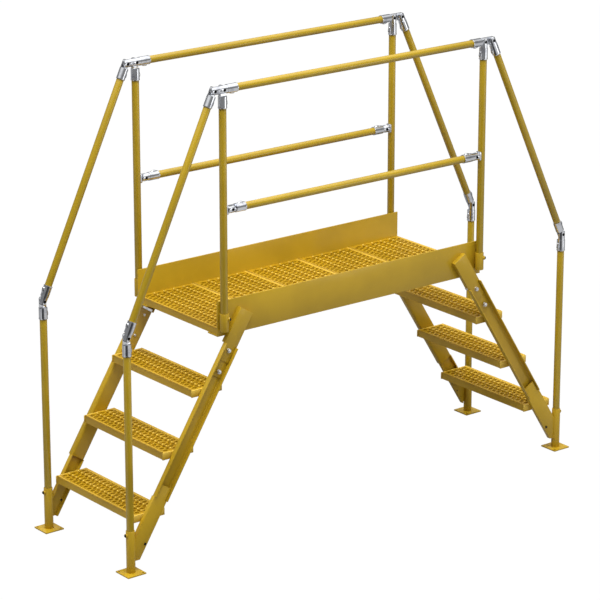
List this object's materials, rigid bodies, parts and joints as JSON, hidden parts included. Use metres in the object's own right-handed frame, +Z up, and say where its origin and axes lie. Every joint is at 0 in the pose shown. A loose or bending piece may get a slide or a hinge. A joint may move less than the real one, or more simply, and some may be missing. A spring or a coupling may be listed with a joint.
{
  "type": "crossover platform",
  "caption": "Free-standing industrial stair bridge: steps up to a planked landing and down again, with pipe handrails on both sides.",
  "frame": {"origin": "on the floor, at the middle of the object", "axes": "+X along the crossing, +Y across it, +Z up"},
  "size_m": [2.6092, 0.742, 2.1083],
  "materials": {
    "yellow_paint": "semi-gloss powder coat",
    "grip_planks": "semi-gloss powder coat on serrated grip planks",
    "cast_fittings": "polished cast"
  },
  "bodies": {
    "root": {"deck_plank_1": "grip_planks", "deck_plank_2": "grip_planks", "deck_plank_3": "grip_planks", "deck_plank_4": "grip_planks", "deck_plank_5": "grip_planks", "foot_brackets": "yellow_paint", "foot_plates": "yellow_paint", "foot_sleeves": "yellow_paint", "hangers_left": "yellow_paint", "hangers_right": "yellow_paint", "leg_posts_left": "yellow_paint", "leg_posts_right": "yellow_paint", "leg_sockets": "cast_fittings", "mid_rail_back": "yellow_paint", "mid_rail_front": "yellow_paint", "mid_rail_lugs": "cast_fittings", "mid_rail_sockets": "cast_fittings", "platform_posts_left": "yellow_paint", "platform_posts_right": "yellow_paint", "post_sleeves": "yellow_paint", "post_top_sockets": "cast_fittings", "side_girder_back": "yellow_paint", "side_girder_front": "yellow_paint", "splice_plates": "yellow_paint", "stair_rail_lower_sockets": "cast_fittings", "stair_rail_upper_sockets": "cast_fittings", "stair_rails_left": "yellow_paint", "stair_rails_right": "yellow_paint", "stringer_left_back": "yellow_paint", "stringer_left_front": "yellow_paint", "stringer_right_back": "yellow_paint", "stringer_right_front": "yellow_paint", "top_rail_back": "yellow_paint", "top_rail_front": "yellow_paint", "top_rail_sockets": "cast_fittings", "tread_cleats": "yellow_paint", "tread_left_1": "grip_planks", "tread_left_2": "grip_planks", "tread_left_3": "grip_planks", "tread_right_1": "grip_planks", "tread_right_2": "grip_planks", "tread_right_3": "grip_planks"}
  },
  "joints": []
}
